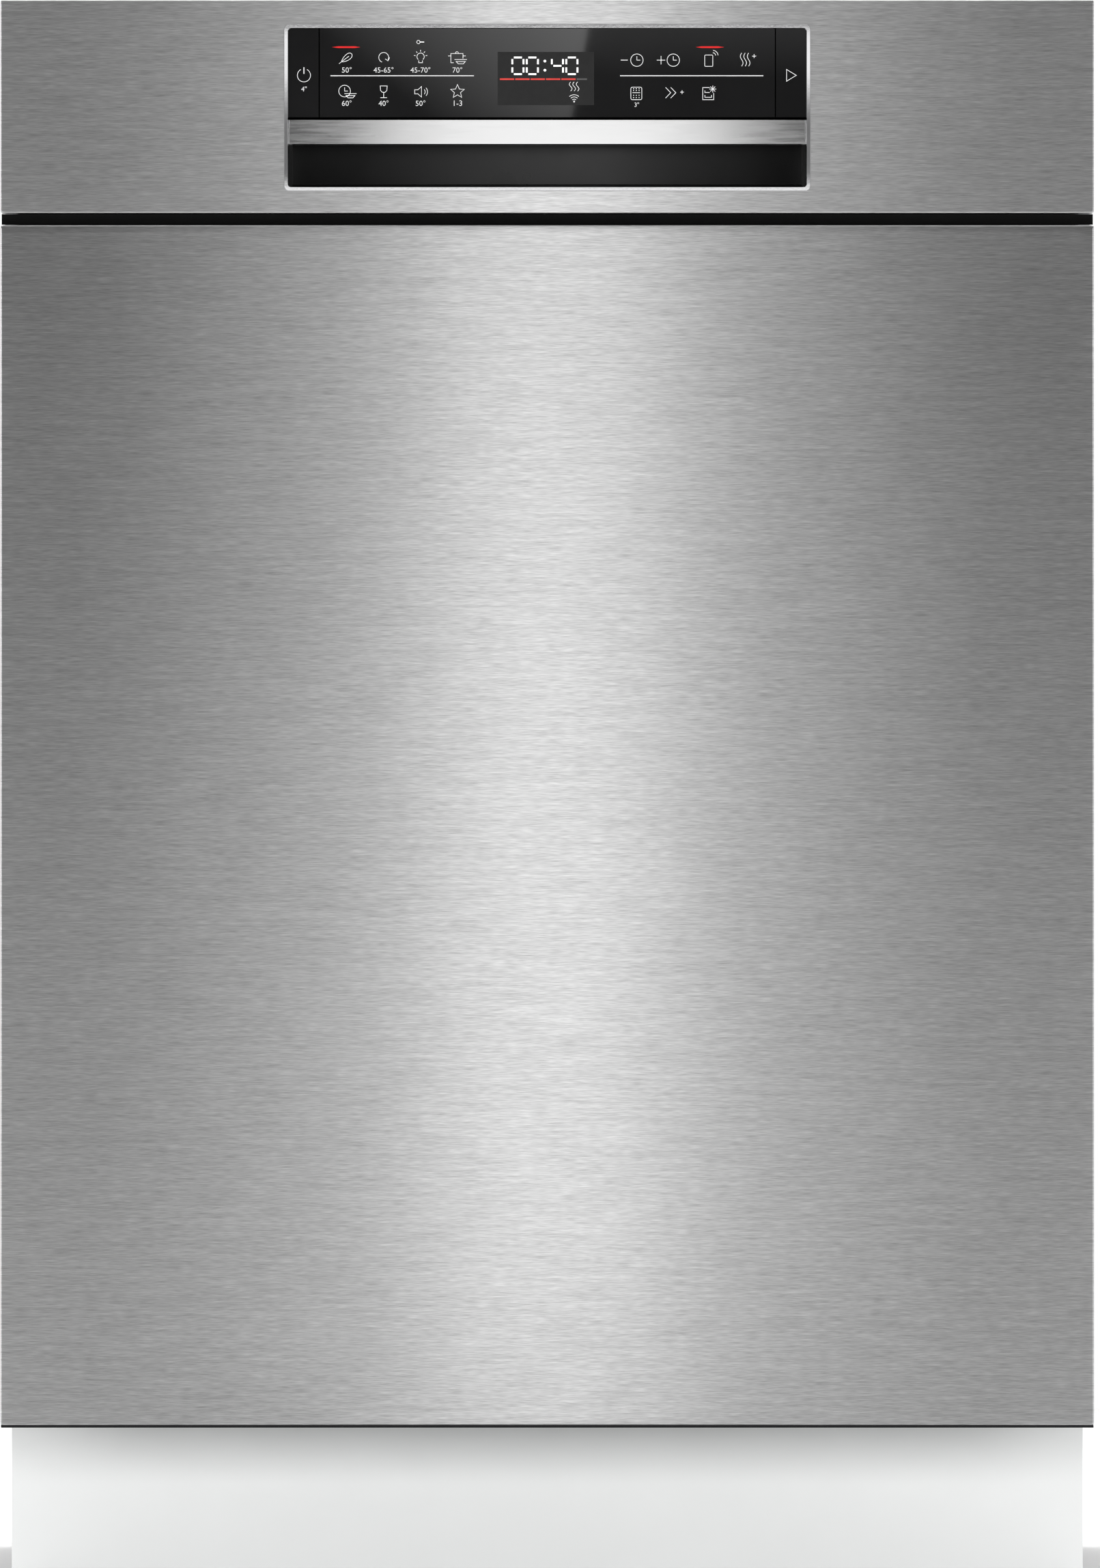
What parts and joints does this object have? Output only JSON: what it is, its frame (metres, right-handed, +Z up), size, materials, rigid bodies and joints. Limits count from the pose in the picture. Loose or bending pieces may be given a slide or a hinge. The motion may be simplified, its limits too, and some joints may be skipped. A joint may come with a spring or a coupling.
{
  "type": "built-in dishwasher",
  "caption": "Tall under-worktop dishwasher with a brushed steel front, black glass control strip, recessed grip, three sliding racks and a drop-down door.",
  "frame": {"origin": "middle of the footprint on the floor, under the levelling feet", "axes": "+X to the right seen from the front, +Y to the rear, +Z up; the front faces -Y"},
  "size_m": [0.598, 0.573, 0.865],
  "materials": {
    "brushed_steel": "fine horizontal brushing",
    "stainless": "satin pressed sheet",
    "bright_trim": "polished",
    "grip_metal": "satin",
    "black_glass": "polished black",
    "black_gloss": "gloss",
    "black_plastic": "fine grain",
    "dark_plastic": "moulded",
    "grey_plastic": "moulded",
    "pale_plastic": "moulded",
    "white_plastic": "moulded",
    "plinth_white": "smooth matt paint",
    "galvanised": "galvanised sheet",
    "zinc_hardware": "zinc plated",
    "spring_steel": "bright",
    "rack_wire": "grey nylon-coated wire",
    "spray_arm_plastic": "satin moulded",
    "seal_rubber": "soft",
    "felt": "bitumen felt",
    "circuit_board": "board"
  },
  "bodies": {
    "cabinet": {"base_tray": "dark_plastic", "plinth_panel": "plinth_white", "side_panel_left": "galvanised", "side_panel_right": "galvanised", "rear_panel": "galvanised", "top_cover": "galvanised", "front_frame": "galvanised", "worktop_brackets": "zinc_hardware", "tub": "stainless", "tub_seal": "seal_rubber", "lower_seal": "seal_rubber", "insulation_mats": "felt", "heat_exchanger": "white_plastic", "sump": "dark_plastic", "filter_plate": "stainless", "circulation_pump": "dark_plastic", "drain_pump": "dark_plastic", "softener": "white_plastic", "inlet_valve": "white_plastic", "drain_spigot": "dark_plastic", "mains_socket": "black_plastic", "feed_riser": "white_plastic", "rack_rails": "zinc_hardware", "hinge_brackets": "zinc_hardware", "hinge_pins": "spring_steel", "door_springs": "spring_steel", "latch_striker": "zinc_hardware", "body_screws": "zinc_hardware"},
    "door": {"door_panel": "brushed_steel", "control_fascia": "brushed_steel", "fascia_carrier": "black_plastic", "bezel": "bright_trim", "control_glass": "black_glass", "handle_strip": "grip_metal", "handle_recess": "black_gloss", "control_module": "circuit_board", "door_liner": "stainless", "door_insulation": "felt", "hinge_arms": "zinc_hardware", "door_latch": "black_plastic", "dispenser": "grey_plastic"},
    "power_key": {"power_button": "black_glass"},
    "start_key": {"start_button": "black_glass"},
    "detergent_lid": {"dispenser_lid": "pale_plastic"},
    "rinse_cap": {"rinse_aid_cap": "pale_plastic"},
    "lower_basket": {"lower_rack": "rack_wire"},
    "front_tine_row": {"lower_tines_front": "rack_wire"},
    "rear_tine_row": {"lower_tines_rear": "rack_wire"},
    "lower_arm": {"lower_spray_arm": "spray_arm_plastic"},
    "upper_basket": {"upper_rack": "rack_wire"},
    "upper_tine_row": {"upper_tines": "rack_wire"},
    "left_cup_shelf": {"cup_shelf_left": "pale_plastic"},
    "right_cup_shelf": {"cup_shelf_right": "pale_plastic"},
    "upper_arm": {"upper_spray_arm": "spray_arm_plastic"},
    "cutlery_tray": {"cutlery_drawer": "grey_plastic"},
    "filter": {"filter_cylinder": "dark_plastic"},
    "softener_cap": {"salt_cap": "dark_plastic"},
    "front_left_foot": {"foot_front_left": "black_plastic"},
    "front_right_foot": {"foot_front_right": "black_plastic"},
    "rear_foot": {"foot_rear": "black_plastic"}
  },
  "joints": [
    {"name": "door_hinge", "type": "hinge", "parent": "cabinet", "child": "door", "pos_m": [0, -0.245, 0.13], "axis": [1, 0, 0], "range_deg": [0, 90], "stiffness_Nm_per_rad": 20, "springref_deg": -6.88},
    {"name": "power_press", "type": "slide", "parent": "door", "child": "power_key", "axis": [0, 1, 0], "range_m": [0, 0.0015], "stiffness_N_per_m": 600},
    {"name": "start_press", "type": "slide", "parent": "door", "child": "start_key", "axis": [0, 1, 0], "range_m": [0, 0.0015], "stiffness_N_per_m": 600},
    {"name": "detergent_lid_slide", "type": "slide", "parent": "door", "child": "detergent_lid", "axis": [0, 0, -1], "range_m": [0, 0.08]},
    {"name": "rinse_cap_flip", "type": "hinge", "parent": "door", "child": "rinse_cap", "pos_m": [0.138, -0.2231, 0.4515], "axis": [1, 0, 0], "range_deg": [0, 100]},
    {"name": "lower_rack_slide", "type": "slide", "parent": "cabinet", "child": "lower_basket", "axis": [0, -1, 0], "range_m": [0, 0.26]},
    {"name": "upper_rack_slide", "type": "slide", "parent": "cabinet", "child": "upper_basket", "axis": [0, -1, 0], "range_m": [0, 0.33]},
    {"name": "cutlery_slide", "type": "slide", "parent": "cabinet", "child": "cutlery_tray", "axis": [0, -1, 0], "range_m": [0, 0.315]},
    {"name": "front_tines_fold", "type": "hinge", "parent": "lower_basket", "child": "front_tine_row", "pos_m": [0, -0.022, 0.2022], "axis": [1, 0, 0], "range_deg": [0, 90]},
    {"name": "rear_tines_fold", "type": "hinge", "parent": "lower_basket", "child": "rear_tine_row", "pos_m": [0, 0.102, 0.2022], "axis": [-1, 0, 0], "range_deg": [0, 90]},
    {"name": "lower_arm_spin", "type": "hinge", "parent": "cabinet", "child": "lower_arm", "pos_m": [0, 0.015, 0.17], "axis": [0, 0, 1], "continuous": true},
    {"name": "upper_tines_fold", "type": "hinge", "parent": "upper_basket", "child": "upper_tine_row", "pos_m": [0.09, 0.02, 0.5072], "axis": [0, 1, 0], "range_deg": [0, 90]},
    {"name": "left_shelf_fold", "type": "hinge", "parent": "upper_basket", "child": "left_cup_shelf", "pos_m": [-0.249, 0.02, 0.596], "axis": [0, -1, 0], "range_deg": [0, 90]},
    {"name": "right_shelf_fold", "type": "hinge", "parent": "upper_basket", "child": "right_cup_shelf", "pos_m": [0.249, 0.02, 0.596], "axis": [0, 1, 0], "range_deg": [0, 90]},
    {"name": "upper_arm_spin", "type": "hinge", "parent": "upper_basket", "child": "upper_arm", "pos_m": [0, 0.015, 0.47], "axis": [0, 0, 1], "continuous": true},
    {"name": "filter_turn", "type": "hinge", "parent": "cabinet", "child": "filter", "pos_m": [0.078, -0.058, 0.15], "axis": [0, 0, 1], "range_deg": [0, 90]},
    {"name": "softener_cap_turn", "type": "hinge", "parent": "cabinet", "child": "softener_cap", "pos_m": [-0.19, 0.12, 0.155], "axis": [0, 0, 1], "range_deg": [0, 180]},
    {"name": "front_left_foot_screw", "type": "slide", "parent": "cabinet", "child": "front_left_foot", "axis": [0, 0, -1], "range_m": [0, 0.06]},
    {"name": "front_right_foot_screw", "type": "slide", "parent": "cabinet", "child": "front_right_foot", "axis": [0, 0, -1], "range_m": [0, 0.06]},
    {"name": "rear_foot_screw", "type": "slide", "parent": "cabinet", "child": "rear_foot", "axis": [0, 0, -1], "range_m": [0, 0.06]}
  ],
  "couplings": [
    {"joint": "lower_rack_slide", "follows": "door_hinge", "m_per_rad": 0.165},
    {"joint": "upper_rack_slide", "follows": "door_hinge", "m_per_rad": 0.21},
    {"joint": "cutlery_slide", "follows": "door_hinge", "m_per_rad": 0.2}
  ]
}
